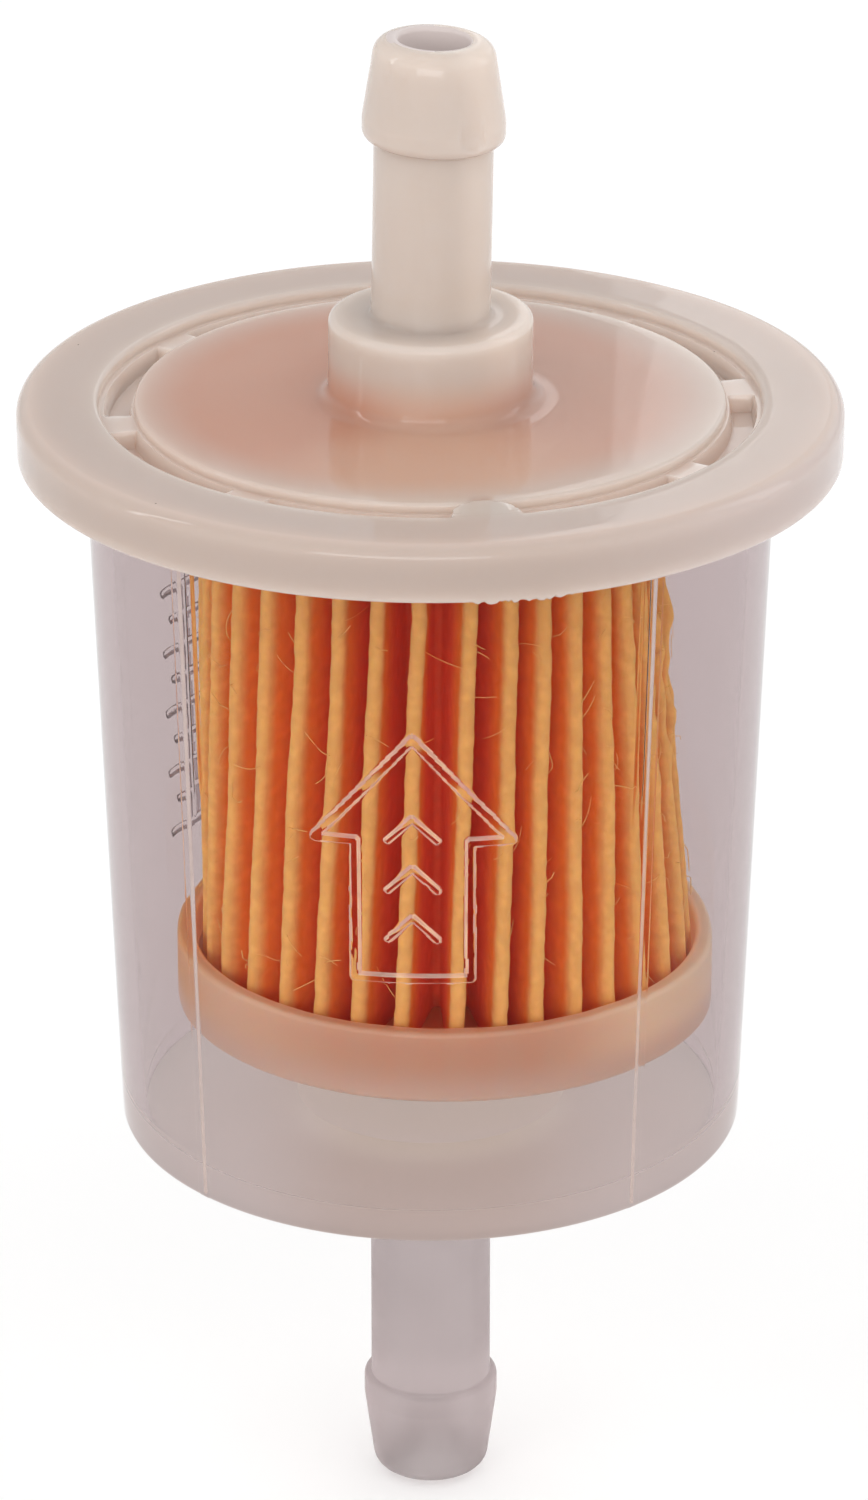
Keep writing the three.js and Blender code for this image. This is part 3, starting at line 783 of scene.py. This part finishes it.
def make_cap(material, bore_material):
    groove_inner = BOWL_TOP_R - TONGUE_T - 0.1
    groove_outer = BOWL_TOP_R + 0.1
    groove_top = TONGUE_TOP_Z + 0.35
    corners = [
        (BORE_R, WEB_UNDER_Z, 0.2),
        (WELL_R, WEB_UNDER_Z),
        (WELL_R, SKIRT_UNDER_Z, 0.2),
        (SKIRT_R, SKIRT_UNDER_Z, 0.2),
        (SKIRT_R, FLANGE_UNDER_Z, 0.2),
        (groove_inner, FLANGE_UNDER_Z, 0.1),
        (groove_inner, groove_top),
        (groove_outer, groove_top),
        (groove_outer, FLANGE_UNDER_Z, 0.15),
        (FLANGE_R, FLANGE_UNDER_Z, 0.3),
        (FLANGE_R, FLANGE_TOP_Z, 0.8),
        (DRIVE_RING_OUTER_R, FLANGE_TOP_Z, 0.25),
        (DRIVE_RING_OUTER_R, DRIVE_RING_Z, 0.12),
        (DRIVE_RING_INNER_R, DRIVE_RING_Z, 0.1),
        (DRIVE_RING_INNER_R, DISC_Z, 0.2),
        (BOSS_R, DISC_Z, 0.8),
        (BOSS_R, BOSS_TOP_Z, 0.4),
        *spigot(BOSS_TOP_Z, OUTLET_TIP_Z, 1, **OUTLET),
    ]
    outline = spread(spread(rounded(corners), 0.8), 0.06, on_ring_floor)
    pitch = 360 / POCKET_COUNT
    sides = [
        (POCKET_RIB_AZIMUTH + k * pitch + side * (POCKET_RIB_DEG / 2 + 0.4), 0.9, 0.15)
        for k in range(POCKET_COUNT) for side in (-1, 1)
    ]
    flash = [(FLASH["azimuth"], 13, 0.4)]
    dent = [(DENT["azimuth"], 20, 0.7)]
    points, faces = turned(outline, azimuths(1.5, sides + flash + dent), cap_point)
    made = piece("cap_moulding", points, faces, material, "outlet_cap")
    made.data.materials.append(bore_material)
    for face in made.data.polygons:
        r = math.hypot(face.center.x, face.center.y) / MM
        face.material_index = int(r < BORE_R + 0.35 and face.center.z > FLANGE_TOP_Z * MM)
    return made


# ---------------------------------------------------------------------------------------------
# Clear bowl
# ---------------------------------------------------------------------------------------------


def bowl_r(z):
    up = z - FLOOR_UNDER_Z
    return BOWL_FOOT_R + (BOWL_TOP_R - BOWL_FOOT_R) * up / (FLANGE_UNDER_Z - FLOOR_UNDER_Z)


def from_segment(p, a, b):
    """The distance from a place to the line from a to b."""
    along = b - a
    t = min(max((p - a).dot(along) / along.length_squared, 0), 1)
    return (p - a - along * t).length


# The marks' lines are (start, end) pairs of (distance round the bowl, height).


def arrow_path():
    right = [
        Vector((ARROW["half_shaft"], ARROW["base"])),
        Vector((ARROW["half_shaft"], ARROW["shoulder"])),
        Vector((ARROW["half_head"], ARROW["shoulder"])),
    ]
    left = [Vector((-p.x, p.y)) for p in reversed(right)]
    path = [*right, Vector((0, ARROW["tip"])), *left]
    return list(zip(path, path[1:] + path[:1]))


def chevron_paths():
    half, rise = CHEVRONS["half_w"], CHEVRONS["rise"]
    lines = []
    for k in range(CHEVRONS["count"]):
        z = CHEVRONS["first"] + k * CHEVRONS["pitch"]
        top = Vector((0, z + rise))
        lines += [(Vector((-half, z)), top), (top, Vector((half, z)))]
    return lines


def tick_paths():
    last = TICKS["first"] + (TICKS["count"] - 1) * TICKS["pitch"]
    lines = [(Vector((0, TICKS["first"])), Vector((0, last)))]
    for k in range(TICKS["count"]):
        z = TICKS["first"] + k * TICKS["pitch"]
        half = (TICKS["short"] if k % 2 else TICKS["long"]) / 2
        lines.append((Vector((-half, z)), Vector((half, z))))
    return lines


MARKS = [
    (ARROW_AZIMUTH, MARK_HALF_W, MARK_PROUD, arrow_path()),
    (ARROW_AZIMUTH, MARK_HALF_W * 0.75, MARK_PROUD * 0.8, chevron_paths()),
    (TICKS["azimuth"], MARK_HALF_W * 0.85, MARK_PROUD, tick_paths()),
]
MARKS_FROM = TICKS["first"] - 0.6
MARKS_TO = ARROW["tip"] + 0.8
MARK_EDGE = 0.15 # how wide the slope at a mark's edge is


def mark_height(azimuth, z):
    """How far a raised mark stands out of the bowl at a place on its outside."""
    best = 0
    for centre, half_w, proud, lines in MARKS:
        along = math.radians(wrapped(azimuth - centre)) * bowl_r(z)
        if abs(along) > ARROW["half_head"] + 1:
            continue
        here = Vector((along, z))
        nearest = min(from_segment(here, a, b) for a, b in lines)
        nearest += 0.03 * ripple(along * 1.3, z * 1.3)
        best = max(best, proud * smooth(half_w, half_w - MARK_EDGE, nearest))
    return best


def bowl_point(point, r, z, azimuth):
    outside = abs(r - bowl_r(z)) < 0.01
    if outside and MARKS_FROM < z < MARKS_TO:
        point += facing(azimuth) * mark_height(azimuth, z)
    if r > BOWL_FOOT_R - 0.3 and z < FLANGE_UNDER_Z - 0.1:
        off = min(abs(wrapped(azimuth - line)) for line in MOULD_LINE_AZIMUTHS)
        line = smooth(MOULD_LINE_HALF_W, MOULD_LINE_HALF_W - 0.12, math.radians(off) * r)
        foot = smooth(FLOOR_UNDER_Z, FLOOR_UNDER_Z + 0.5, z)
        point += facing(azimuth) * MOULD_LINE_PROUD * line * foot
    return point


def bowl_materials():
    """The bowl's materials, by the name of the surface that each is for."""
    return {
        "outside": clear_nylon("clear_nylon", SMOKE, roughness=0.02),
        "inside": clear_nylon("clear_nylon_inside", UNTINTED, roughness=0.02),
        "bore": clear_nylon("frosted_nylon_inside", UNTINTED, **FROSTED),
        "spigot": clear_nylon("frosted_nylon", SMOKE_THICK, **FROSTED, barb_tint=SMOKE_BARB),
        "inner_foot": clear_nylon("clear_nylon_floor", UNTINTED, roughness=0.02, ior=1.03),
        "cloudy": cloudy_nylon(),
        "mould_line": mark_edges("mould_line_edges", *MOULD_LINE_SHADE_AND_HIGHLIGHT),
        "front_mark": mark_edges("mark_edges", *FRONT_MARK_SHADE_AND_HIGHLIGHT),
        "back_mark": mark_edges("back_mark_edges", *BACK_MARK_PAINTED_SHADE),
    }


def bowl_surface(middle, normal):
    """The name of the surface that one of the bowl's faces lies on."""
    r, z = math.hypot(middle.x, middle.y), middle.z
    if z < FLOOR_UNDER_Z - 0.25:
        return "spigot" if r > BORE_R + 0.3 else "bore"
    if r < bowl_r(z) - WALL_T / 2 and z > FLOOR_UNDER_Z + 0.25:
        if z > FLOOR_UNDER_Z + FLOOR_T + INNER_FOOT_ROUND:
            return "inside"
        return "cloudy" if r < CLOUDY_TOP_R else "inner_foot"
    if z < FLOOR_UNDER_Z + 0.25 and r < BOWL_FOOT_R - 0.5:
        return "cloudy"
    out = Vector((middle.x, middle.y, 0)).normalized()
    if normal.dot(out) > 0.9 or z < FLOOR_UNDER_Z + 0.6 or z > FLANGE_UNDER_Z - 0.1:
        return "outside"
    azimuth = math.degrees(math.atan2(middle.x, -middle.y))
    if min(abs(wrapped(azimuth - line)) for line in MOULD_LINE_AZIMUTHS) < 2:
        return "mould_line"
    return "back_mark" if abs(wrapped(azimuth - TICKS["azimuth"])) < 10 else "front_mark"


def beside_marks(start, end):
    """Whether an edge of the outline is on the bowl's outside, at the height of the raised marks."""
    outside = abs(start.x - bowl_r(start.y)) < 0.01 and abs(end.x - bowl_r(end.y)) < 0.01
    return outside and start.y > MARKS_FROM and end.y < MARKS_TO


def make_bowl(materials):
    floor_z = FLOOR_UNDER_Z + FLOOR_T
    ledge_z = FLANGE_UNDER_Z - 0.05
    corners = [
        (BORE_R, floor_z, 0.3),
        (bowl_r(floor_z) - WALL_T, floor_z, INNER_FOOT_ROUND),
        (bowl_r(ledge_z) - WALL_T, ledge_z, 0.1),
        (BOWL_TOP_R - TONGUE_T, ledge_z),
        (BOWL_TOP_R - TONGUE_T, TONGUE_TOP_Z, 0.1),
        (BOWL_TOP_R, TONGUE_TOP_Z, 0.1),
        (bowl_r(ledge_z), ledge_z),
        (BOWL_FOOT_R, FLOOR_UNDER_Z, 0.55),
        *spigot(FLOOR_UNDER_Z, 0, -1, **INLET),
    ]
    outline = spread(spread(rounded(corners), 1.4), 0.075, beside_marks)
    patches = [(ARROW_AZIMUTH, 19, 0.24), (TICKS["azimuth"], 9, 0.35)]
    patches += [(line, 1.5, 0.2) for line in MOULD_LINE_AZIMUTHS]
    points, faces = turned(outline, azimuths(2, patches), bowl_point)
    first, *others = materials.values()
    made = piece("bowl_moulding", points, faces, first, "clear_bowl", 60)
    for material in others:
        made.data.materials.append(material)
    surfaces = list(materials)
    for face in made.data.polygons:
        face.material_index = surfaces.index(bowl_surface(face.center / MM, face.normal))
    return made


# ---------------------------------------------------------------------------------------------
# Paper element
# ---------------------------------------------------------------------------------------------

LEVELS = 120
SEAM_AZIMUTH = 80


def down_at(z):
    """0 at the paper's top and 1 at its foot."""
    foot, top = PAPER[0].z, PAPER[1].z
    return (top - z) / (top - foot)


def lean_at(z):
    """Where the paper's middle is along X."""
    return PAPER_TOP_X + (PAPER_FOOT_X - PAPER_TOP_X) * down_at(z)


def reach_at(z):
    """How far the folds reach from the paper's middle."""
    return PLEAT_TOP_R + (PLEAT_FOOT_R - PLEAT_TOP_R) * down_at(z)


def crowding(azimuth):
    """How many degrees the fold nearest to an azimuth stands from its even place."""
    spread_out = 1.7 - 4.5 * smooth(35, 78, -azimuth) - 3.3 * smooth(35, 78, azimuth)
    gap = 2.6 * math.exp(-(((azimuth - 11) / 12) ** 2)) - math.exp(-(((azimuth + 8) / 9) ** 2))
    return spread_out + gap


def pleat_azimuth(k, z):
    """Where fold k stands at height z. The folds twist a little, but for those at the back right."""
    even = wrapped(FIRST_PLEAT + (k % PLEAT_COUNT) * 360 / PLEAT_COUNT)
    twist = PLEAT_TWIST * smooth(-180, -120, even) * smooth(90, 40, even)
    wander = 0.4 * ripple((k % PLEAT_COUNT) * 5.3, z * 0.045)
    return even + crowding(even) + twist * (z - UNTWISTED_Z) + wander


def pleat_section(z):
    """The middle of the paper in plan at height z.

    Each ripple takes the fold's number times an odd step, so that no two folds are alike, and the
    height times how quickly that fold changes along its length.
    """
    free = smooth(0, 0.15, 1 - down_at(z)) # the end cap holds the foot of each fold in place
    path = []
    for k in range(PLEAT_COUNT):
        azimuth = pleat_azimuth(k, z) + 0.4 * free * ripple(k * 3.7, z * 0.16)
        crumpled = math.exp(-((wrapped(azimuth - SEAM_AZIMUTH) / 18) ** 2)) * smooth(40, 50, z)
        azimuth += 0.25 * ripple(k * 2.9, z * 0.9) + 0.15 * ripple(k * 4.7, z * 2.3)
        azimuth += 1.5 * crumpled * ripple(k * 3.1, z * 0.4)
        reach = reach_at(z)
        reach += free * (0.16 * ripple(k * 7.9, z * 0.1) + 0.04 * ripple(k * 1.7, z * 1.7))
        reach += 0.5 * crumpled * ripple(k * 7.9, z * 0.5)
        fold = RIDGE_FOLD_R + 0.04 * ripple(k * 2.3, z * 0.15) + 0.025 * ripple(k * 6.1, z * 1.3)
        out, side = facing(azimuth), facing(azimuth + 90)
        path += arc(out * (reach - PAPER_T / 2 - fold), out, side, fold, -90, 180, 8)
        ahead = pleat_azimuth(k + 1, z)
        valley_azimuth = azimuth + ((ahead - azimuth) % 360) / 2
        out, side = facing(valley_azimuth), facing(valley_azimuth + 90)
        valley = out * (PLEAT_INNER_R + 0.6)
        path.append(path[-1].lerp(valley - side * VALLEY_FOLD_R, 0.45))
        path += arc(valley, out, side, VALLEY_FOLD_R, 270, -180, 4)
    return path


def make_paper(material):
    """The pleated sheet, as an outer and an inner skin that are joined at its top and foot."""
    points, faces = [], []
    foot, top = PAPER[0].z, PAPER[1].z
    for level in range(LEVELS + 1):
        z = foot + (top - foot) * level / LEVELS
        path = pleat_section(z)
        n = len(path)
        offset = Vector((lean_at(z), 0, z))
        for half in (PAPER_T / 2, -PAPER_T / 2):
            for i, p in enumerate(path):
                along = (path[(i + 1) % n] - path[i - 1]).normalized()
                points.append(p + Vector((along.y, -along.x, 0)) * half + offset)
    row = 2 * n
    for i in range(n):
        j = (i + 1) % n
        for level in range(LEVELS):
            low, high = level * row, (level + 1) * row
            faces.append((low + i, low + j, high + j, high + i))
            faces.append((low + n + j, low + n + i, high + n + i, high + n + j))
        faces.append((i, n + i, n + j, j))
        last = LEVELS * row
        faces.append((last + i, last + j, last + n + j, last + n + i))
    return piece("paper_pleats", points, faces, material, "pleated_paper", 60)


def tube(points, faces, path, radius, sides=5):
    """Adds a thin closed tube along a path of points."""
    first = len(points)
    for i, p in enumerate(path):
        along = (path[min(i + 1, len(path) - 1)] - path[max(i - 1, 0)]).normalized()
        across = along.orthogonal().normalized()
        up = along.cross(across)
        taper = radius * (0.5 if i in (0, len(path) - 1) else 1)
        for k in range(sides):
            a = 2 * math.pi * k / sides
            points.append(p + (across * math.cos(a) + up * math.sin(a)) * taper)
    for i in range(len(path) - 1):
        for k in range(sides):
            m = (k + 1) % sides
            low, high = first + i * sides, first + (i + 1) * sides
            faces.append((low + k, low + m, high + m, high + k))
    faces.append(tuple(first + k for k in reversed(range(sides))))
    last = first + (len(path) - 1) * sides
    faces.append(tuple(last + k for k in range(sides)))


def make_fibres(material):
    """Loose paper fibres that stand off the folds."""
    draw = random.Random(7)
    points, faces = [], []
    foot, top = PAPER[0].z + 3, PAPER[1].z - 4
    for _ in range(FIBRE_COUNT):
        z = draw.uniform(foot, top)
        pleat = draw.randrange(PLEAT_COUNT)
        azimuth = pleat_azimuth(pleat, z) + draw.uniform(-1.6, 1.6)
        reach = reach_at(z) - 0.12
        start = facing(azimuth) * reach + Vector((lean_at(z), 0, z))
        out = facing(azimuth)
        heading = Vector((draw.uniform(-1, 1), draw.uniform(-1, 1), draw.uniform(-1, 1)))
        heading += out * 0.5
        curl = Vector((draw.uniform(-1, 1), draw.uniform(-1, 1), draw.uniform(-1, 1))) * 0.5
        path, here = [start], start
        for _ in range(draw.randrange(5, 14)):
            heading = (heading + curl * 0.4).normalized()
            here = here + heading * draw.uniform(0.12, 0.26)
            off = here - Vector((lean_at(here.z), 0, here.z))
            here = here - facing(azimuth) * max(0, off.length - reach - 0.35)
            path.append(here)
        tube(points, faces, path, draw.uniform(0.014, 0.03))
    return piece("paper_fibres", points, faces, material, None, 60)


def make_end_cap(material):
    low, high = END_CAP
    r = half_width(END_CAP)
    inner = r - CUP_WALL
    floor_z = low.z + CUP_FLOOR_T
    corners = [
        (0.02, low.z),
        (r, low.z, 0.5),
        (r, high.z, 0.28),
        (inner, high.z, 0.28),
        (inner, floor_z, 0.4),
        (0.02, floor_z),
    ]

    def point(p, _, z, azimuth):
        if z > high.z - 0.3:
            p.z += 0.05 * ripple(azimuth * 0.12, 5.0)
        return p + Vector((LEAN, 0, 0))

    points, faces = turned(spread(rounded(corners), 1.5), azimuths(2), point)
    return piece("end_cap_cup", points, faces, material, "lower_end_cap")


def make_potting(name, node, box, shift, creep, material):
    """A ring of set adhesive that has crept up by creep at its outer edge."""
    low, high = box
    outer = half_width(box)
    corners = [
        (POTTING_INNER_R, low.z, 0.2),
        (outer, low.z, 0.1),
        (outer, high.z + creep, 0.05),
        (outer - 0.9, high.z + 0.3 * creep, 0.3),
        (POTTING_INNER_R, high.z, 0.3),
    ]

    def point(p, r, z, azimuth):
        if r < POTTING_INNER_R + 0.5:
            p += facing(azimuth) * 0.3 * ripple(azimuth * 0.08, low.z)
        return p + Vector((shift, 0, 0))

    points, faces = turned(spread(rounded(corners, 4), 1.2), azimuths(3), point)
    return piece(name, points, faces, material, node)


def make_seam(material):
    """The glued seam: a lumpy strip between two folds."""
    low, high = SEAM
    points, faces = [], []
    rows, sides = 40, 12
    for i in range(rows + 1):
        z = low.z + (high.z - low.z) * i / rows
        azimuth = (pleat_azimuth(SEAM_PLEAT, z) + pleat_azimuth(SEAM_PLEAT + 1, z)) / 2
        out, side = facing(azimuth), facing(azimuth + 90)
        centre = out * (PLEAT_TOP_R - 1.3) + Vector((lean_at(z), 0, z))
        ends = 0.4 + 0.6 * smooth(0, 0.08, min(i, rows - i) / rows)
        for k in range(sides):
            a = 2 * math.pi * k / sides
            lump = 1 + 0.35 * ripple(math.cos(a) * 0.8 + 4, math.sin(a) * 0.8, z * 0.35)
            offset = out * math.cos(a) * 0.75 * lump * ends + side * math.sin(a) * 0.28 * lump * ends
            points.append(centre + offset)
    for i in range(rows):
        for k in range(sides):
            m = (k + 1) % sides
            faces.append((i * sides + k, i * sides + m, (i + 1) * sides + m, (i + 1) * sides + k))
    faces.append(tuple(reversed(range(sides))))
    faces.append(tuple(rows * sides + k for k in range(sides)))
    return piece("seam_glue", points, faces, material, "paper_seam_strip", 60)


# ---------------------------------------------------------------------------------------------
# Scene
# ---------------------------------------------------------------------------------------------


FLOOR_SIZE = 6 # metres
FLOOR_GAP = 0.2 # mm under the filter


def make_floor():
    under = CAD_BOX[0][2] - FLOOR_GAP * MM
    bpy.ops.mesh.primitive_plane_add(size=FLOOR_SIZE, location=(0, 0, under))
    floor = bpy.context.object
    floor.name = "floor"
    floor.data.materials.append(pale_floor())


def make_world():
    """A white studio that is brighter on the camera's side."""
    world = bpy.data.worlds.new("studio")
    world.use_nodes = True
    tree = world.node_tree
    tree.nodes.clear()
    towards = add(tree, "ShaderNodeTexCoord").outputs["Generated"]
    _, y, _ = add(tree, "ShaderNodeSeparateXYZ", Vector=towards).outputs
    light = mapped(tree, y, -0.9, 0.4, 1.3, 0.8)
    background = add(tree, "ShaderNodeBackground", Color=(1, 1, 1, 1), Strength=light)
    add(tree, "ShaderNodeOutputWorld", Surface=background.outputs[0])
    bpy.context.scene.world = world


def soft_lamp(name, azimuth, height, away, size, power):
    """A soft box that faces the filter's middle. Lengths are in metres."""
    lamp = bpy.data.lights.new(name, "AREA")
    lamp.shape = "RECTANGLE"
    lamp.size, lamp.size_y = size
    lamp.energy = power
    made = bpy.data.objects.new(name, lamp)
    made.location = facing(azimuth) * away + Vector((0, 0, height))
    middle = Vector((0, 0, 0.05))
    made.rotation_euler = (middle - made.location).to_track_quat("-Z", "Y").to_euler()
    bpy.context.collection.objects.link(made)


def make_camera():
    """The photograph's view: 23.5 degrees down, from 384 mm, with a long lens."""
    elevation = math.radians(23.52)
    distance = 0.384
    aim = Vector((0.19 * MM, 0, 44.35 * MM))
    data = bpy.data.cameras.new("camera")
    data.lens = 167.9
    data.sensor_width = 36
    camera = bpy.data.objects.new("camera", data)
    camera.location = aim + Vector((0, -math.cos(elevation), math.sin(elevation))) * distance
    camera.rotation_euler = (math.pi / 2 - elevation, 0, 0)
    bpy.context.collection.objects.link(camera)
    bpy.context.scene.camera = camera


def make_filter():
    milky = milky_nylon()
    amber = amber_potting()
    paper = orange_paper()
    make_cap(milky, glowing_bore())
    make_bowl(bowl_materials())
    make_paper(paper)
    make_fibres(paper)
    make_end_cap(end_cap_nylon())
    make_potting("upper_glue", "upper_potting_ring", UPPER_POTTING, 0, -0.2, amber)
    make_potting("lower_glue", "lower_potting_ring", LOWER_POTTING, LEAN, 0.4, amber)
    make_seam(amber)
    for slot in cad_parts["weld_bead"].material_slots:
        slot.material = milky


def make_studio():
    make_floor()
    make_world()
    soft_lamp("left_box", -85, height=0.35, away=0.6, size=(0.05, 0.5), power=0.4)
    soft_lamp("right_box", 105, height=0.35, away=0.6, size=(0.18, 0.5), power=0.4)
    soft_lamp("back_panel", 154, height=0.55, away=1.0, size=(0.9, 0.7), power=0.85)
    soft_lamp("back_strip", 175.07, height=0.5, away=1.0, size=(0.1, 0.5), power=0.062)
    soft_lamp("front_panel", -8, height=0.27, away=0.9, size=(0.8, 0.25), power=2.2)
    make_camera()
    bpy.context.scene.view_settings.view_transform = "Standard"


def let_light_through():
    """Enough bounces for light to cross the bowl and to scatter in the milky nylon."""
    light_paths = bpy.context.scene.cycles
    light_paths.max_bounces = 24
    light_paths.diffuse_bounces = 12
    light_paths.transmission_bounces = 16
    light_paths.transparent_max_bounces = 16


make_filter()
make_studio()
let_light_through()
